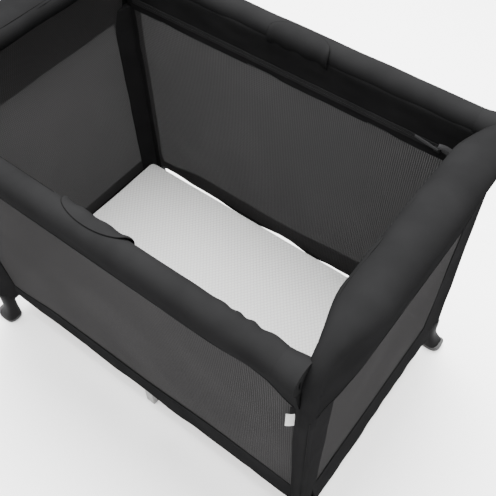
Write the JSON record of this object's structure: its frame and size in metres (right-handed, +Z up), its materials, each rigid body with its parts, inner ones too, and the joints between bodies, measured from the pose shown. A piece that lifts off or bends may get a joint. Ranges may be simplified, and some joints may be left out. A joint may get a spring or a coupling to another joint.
{
  "type": "travel play yard",
  "caption": "Folding travel play yard with padded top rails, mesh walls on splayed legs, a zip along the far wall and a quilted mattress on a folding base.",
  "frame": {"origin": "on the floor, under the middle of the play yard", "axes": "+X along the long sides towards the right end, +Y across towards the side with the zip, +Z up"},
  "size_m": [1.082, 0.702, 0.8649],
  "materials": {
    "coated_steel": "dark powder coat",
    "black_plastic": "matte moulded",
    "grey_rubber": "matte",
    "black_fabric": "fine woven, matte",
    "mesh_fabric": "knitted mesh",
    "mattress_knit": "quilted knit",
    "hardboard": "pressed board",
    "zip_metal": "dark",
    "zip_tape": "woven tape",
    "label_tape": "woven tape, blank"
  },
  "bodies": {
    "left_end": {"left_hoop": "coated_steel", "left_end_cover": "black_fabric", "left_end_mesh": "mesh_fabric", "left_end_hem": "black_fabric", "near_left_leg": "coated_steel", "near_left_foot": "black_plastic", "near_left_sole": "grey_rubber", "near_left_rail_bracket": "black_plastic", "near_left_sleeve": "black_fabric", "far_left_leg": "coated_steel", "far_left_foot": "black_plastic", "far_left_sole": "grey_rubber", "far_left_rail_bracket": "black_plastic", "far_left_sleeve": "black_fabric", "near_band": "black_fabric", "near_mesh": "mesh_fabric", "near_hem": "black_fabric", "far_band": "black_fabric", "far_mesh": "mesh_fabric", "far_hem": "black_fabric", "care_label": "label_tape"},
    "base_left": {"near_left_base_rail": "coated_steel", "far_left_base_rail": "coated_steel", "left_base_board": "hardboard", "left_mattress": "mattress_knit"},
    "base_hinge": {"base_hinge_beam": "black_plastic", "near_centre_foot": "grey_rubber", "far_centre_foot": "grey_rubber"},
    "base_right": {"near_right_base_rail": "coated_steel", "far_right_base_rail": "coated_steel", "right_base_board": "hardboard", "right_mattress": "mattress_knit"},
    "right_end": {"right_hoop": "coated_steel", "right_end_cover": "black_fabric", "right_end_mesh": "mesh_fabric", "right_end_hem": "black_fabric", "near_right_leg": "coated_steel", "near_right_foot": "black_plastic", "near_right_sole": "grey_rubber", "near_right_rail_bracket": "black_plastic", "near_right_sleeve": "black_fabric", "far_right_leg": "coated_steel", "far_right_foot": "black_plastic", "far_right_sole": "grey_rubber", "far_right_rail_bracket": "black_plastic", "far_right_sleeve": "black_fabric"},
    "top_left": {"near_left_top_rail": "coated_steel", "far_left_top_rail": "coated_steel", "near_left_rail_roll": "black_fabric", "far_left_rail_roll": "black_fabric"},
    "top_hinge": {"near_top_hinge": "black_plastic", "far_top_hinge": "black_plastic"},
    "top_right": {"near_right_top_rail": "coated_steel", "far_right_top_rail": "coated_steel", "near_right_rail_roll": "black_fabric", "far_right_rail_roll": "black_fabric"},
    "near_button": {"near_lock_button": "black_plastic"},
    "far_button": {"far_lock_button": "black_plastic"},
    "zip_slider": {"zip_slider": "zip_metal"},
    "zip_pull": {"zip_pull": "zip_tape"}
  },
  "joints": [
    {"name": "fold", "type": "hinge", "parent": "left_end", "child": "base_left", "pos_m": [-0.43, 0, 0.098], "axis": [0, -1, 0], "range_deg": [0, 86], "deforming": ["near_band", "near_mesh", "near_hem", "far_band", "far_mesh", "far_hem", "care_label"]},
    {"name": "base_hinge_left_pin", "type": "hinge", "parent": "base_left", "child": "base_hinge", "pos_m": [-0.03, 0, 0.098], "axis": [0, 1, 0], "range_deg": [0, 86]},
    {"name": "base_hinge_right_pin", "type": "hinge", "parent": "base_hinge", "child": "base_right", "pos_m": [0.03, 0, 0.098], "axis": [0, 1, 0], "range_deg": [0, 86]},
    {"name": "right_end_base_pivot", "type": "hinge", "parent": "base_right", "child": "right_end", "pos_m": [0.43, 0, 0.098], "axis": [0, -1, 0], "range_deg": [0, 86]},
    {"name": "top_rail_left_pivot", "type": "hinge", "parent": "left_end", "child": "top_left", "pos_m": [-0.43, 0, 0.794], "axis": [0, 1, 0], "range_deg": [0, 86]},
    {"name": "top_hinge_left_pin", "type": "hinge", "parent": "top_left", "child": "top_hinge", "pos_m": [-0.03, 0, 0.794], "axis": [0, -1, 0], "range_deg": [0, 86]},
    {"name": "top_hinge_right_pin", "type": "hinge", "parent": "top_hinge", "child": "top_right", "pos_m": [0.03, 0, 0.794], "axis": [0, -1, 0], "range_deg": [0, 86]},
    {"name": "near_lock_button", "type": "slide", "parent": "top_hinge", "child": "near_button", "axis": [0, 0, 1], "range_m": [0, 0.006], "stiffness_N_per_m": 300, "springref_m": -0.004},
    {"name": "far_lock_button", "type": "slide", "parent": "top_hinge", "child": "far_button", "axis": [0, 0, 1], "range_m": [0, 0.006], "stiffness_N_per_m": 300, "springref_m": -0.004},
    {"name": "zip_slide", "type": "slide", "parent": "right_end", "child": "zip_slider", "axis": [-1, 0, 0], "range_m": [0, 0.05]},
    {"name": "zip_pull_swing", "type": "hinge", "parent": "zip_slider", "child": "zip_pull", "pos_m": [0.379, 0.2852, 0.712], "axis": [0, 1, 0], "range_deg": [-90, 0]}
  ],
  "couplings": [
    {"joint": "base_hinge_left_pin", "follows": "fold", "ratio": 1},
    {"joint": "base_hinge_right_pin", "follows": "fold", "ratio": 1},
    {"joint": "right_end_base_pivot", "follows": "fold", "ratio": 1},
    {"joint": "top_rail_left_pivot", "follows": "fold", "ratio": 1},
    {"joint": "top_hinge_left_pin", "follows": "fold", "ratio": 1},
    {"joint": "top_hinge_right_pin", "follows": "fold", "ratio": 1}
  ]
}
